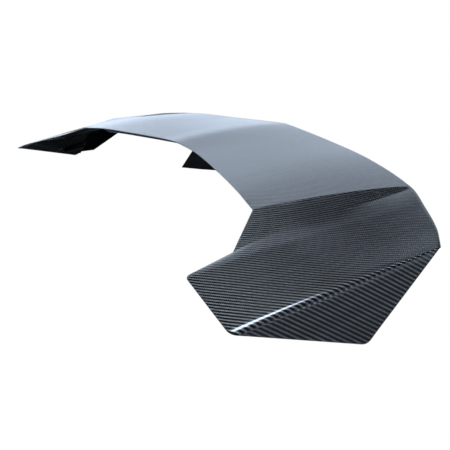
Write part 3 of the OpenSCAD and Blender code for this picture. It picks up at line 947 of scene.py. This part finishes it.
class WING_OT_stage(bpy.types.Operator):
    """Sets the floor, the soft room light and the camera"""

    bl_idname = "wing.stage"
    bl_label = "Floor, Light and Camera"

    def execute(self, context):
        scene = context.scene
        look = scene.wing_stage
        # Floor, just under the feet.
        bm = bmesh.new()
        bmesh.ops.create_circle(bm, cap_ends=True, segments=64, radius=14)
        floor = finished("floor", bm, False)
        floor.data.transform(Matrix.Translation((0, 0, -0.0008)))
        net = Net("floor")
        net.tree.nodes.remove(net.shader)
        matt = net.node("ShaderNodeBsdfDiffuse")
        matt.inputs["Color"].default_value = colour([c * look.floor_bounce for c in look.floor_colour])
        glow = net.node("ShaderNodeEmission")
        glow.inputs["Color"].default_value = colour(look.floor_colour)
        both = net.node("ShaderNodeMixShader")
        net.feed(both.inputs[0], net.node("ShaderNodeLightPath").outputs["Is Camera Ray"])
        net.feed(both.inputs[1], matt.outputs[0])
        net.feed(both.inputs[2], glow.outputs[0])
        net.tree.links.new(both.outputs[0], net.tree.nodes["Material Output"].inputs["Surface"])
        floor.data.materials.append(net.material)

        # Room light: dim all round, a tall soft light on the far side, a small one overhead and a weak key.
        # Floor and room are plain white to the camera; every other ray sees the light itself.
        world = bpy.data.worlds.new("room")
        scene.world = world
        net = WorldNet(world)
        ray = net.node("ShaderNodeTexCoord").outputs["Generated"]
        split = net.node("ShaderNodeSeparateXYZ")
        net.feed(split.inputs[0], ray)
        x, y, z = split.outputs
        height = net.math("MULTIPLY", net.math("ARCSINE", z), 180 / math.pi)
        side = net.math("MULTIPLY", net.math("ARCTAN2", y, x), 180 / math.pi)
        turn = net.math("FLOORED_MODULO", side, 360.0)
        # Tall soft light on the far side: full low down, half as bright up to a brow that dips to the tail.
        brow = net.math("ADD", net.math("MULTIPLY", ramp(net, turn, *BROW_TURN), BROW_RISE), BROW_LOW)
        upper = ramp(net, net.math("SUBTRACT", height, brow), BROW_BLUR, -BROW_BLUR)
        wall = net.math("ADD", net.math("MULTIPLY", ramp(net, height, *WALL_TOP), 0.5),
            net.math("MULTIPLY", upper, 0.5))
        wall = net.math("MULTIPLY", wall, ramp(net, turn, *WALL_END))
        even = net.math("ADD", net.math("MULTIPLY", ramp(net, turn, *TAIL_SIDE), TAIL_GAIN),
            net.math("MULTIPLY", ramp(net, turn, *FAR_SIDE), FAR_GAIN))
        wall = net.math("MULTIPLY", wall, net.math("ADD", even, WALL_LEAST))
        # Small light overhead, almost straight above.
        strip = glow_towards(net, ray, *OVERHEAD)
        key = glow_towards(net, ray, *KEY)
        total = net.math("ADD", net.math("MULTIPLY", wall, look.window_light),
            net.math("MULTIPLY", strip, look.strip_light))
        total = net.math("ADD", total, net.math("MULTIPLY", key, look.key_light))
        total = net.math("ADD", total, look.room_light)
        seen = net.node("ShaderNodeLightPath").outputs["Is Camera Ray"]
        total = net.mix_value(seen, total, 1.0)
        back = net.node("ShaderNodeBackground")
        net.feed(back.inputs["Color"], net.mix_colour(seen, colour(look.light_colour), (1, 1, 1, 1)))
        net.feed(back.inputs["Strength"], total)
        out = net.node("ShaderNodeOutputWorld")
        net.tree.links.new(back.outputs[0], out.inputs["Surface"])

        # Camera, looking at the near end from its outer front.
        lens = bpy.data.cameras.new("camera")
        lens.lens = look.focal_length
        lens.sensor_width = 36.0
        lens.dof.use_dof = False
        camera = bpy.data.objects.new("camera", lens)
        scene.collection.objects.link(camera)
        right = Vector((0.4285, 0.90254, -0.04256))
        up = Vector((-0.24592, 0.16183, 0.95568))
        forward = Vector((-0.86943, 0.39905, -0.2913)).normalized()
        right = (right - forward * right.dot(forward)).normalized()
        up = right.cross(forward)
        turn = Matrix((right, up, -forward)).transposed().to_4x4()
        camera.matrix_world = Matrix.Translation((1.4586, -0.5825, 0.4236)) @ turn
        lens.clip_start, lens.clip_end = 0.05, 60.0
        scene.camera = camera
        scene.view_settings.view_transform = "Standard"
        return {"FINISHED"}


STEPS = (WING_OT_upper_skin, WING_OT_lower_skin, WING_OT_inner_skins, WING_OT_end_webs, WING_OT_pylons,
    WING_OT_fixings, WING_OT_cores, WING_OT_stage)


class WING_PT_panel(bpy.types.Panel):
    """Lists the wing's pieces, sizes and finishes"""

    bl_label = "Rear Wing"
    bl_idname = "WING_PT_panel"
    bl_space_type = "VIEW_3D"
    bl_region_type = "UI"
    bl_category = "Wing"

    def draw(self, context):
        layout = self.layout
        for group in (context.scene.wing_sizes, context.scene.wing_finish, context.scene.wing_stage):
            box = layout.box()
            for name in group.__annotations__:
                box.prop(group, name)
        for step in STEPS:
            layout.operator(step.bl_idname)


GROUPS = (("wing_sizes", WingSizes), ("wing_finish", WingFinish), ("wing_stage", WingStage))


def register():
    for _, group in GROUPS:
        bpy.utils.register_class(group)
    for step in STEPS:
        bpy.utils.register_class(step)
    bpy.utils.register_class(WING_PT_panel)
    for name, group in GROUPS:
        setattr(bpy.types.Scene, name, PointerProperty(type=group))


def unregister():
    for name, _ in GROUPS:
        delattr(bpy.types.Scene, name)
    bpy.utils.unregister_class(WING_PT_panel)
    for step in reversed(STEPS):
        bpy.utils.unregister_class(step)
    for _, group in reversed(GROUPS):
        bpy.utils.unregister_class(group)


def main():
    register()
    for step in STEPS:
        area, name = step.bl_idname.split(".")
        getattr(getattr(bpy.ops, area), name)()


if __name__ == "__main__":
    main()
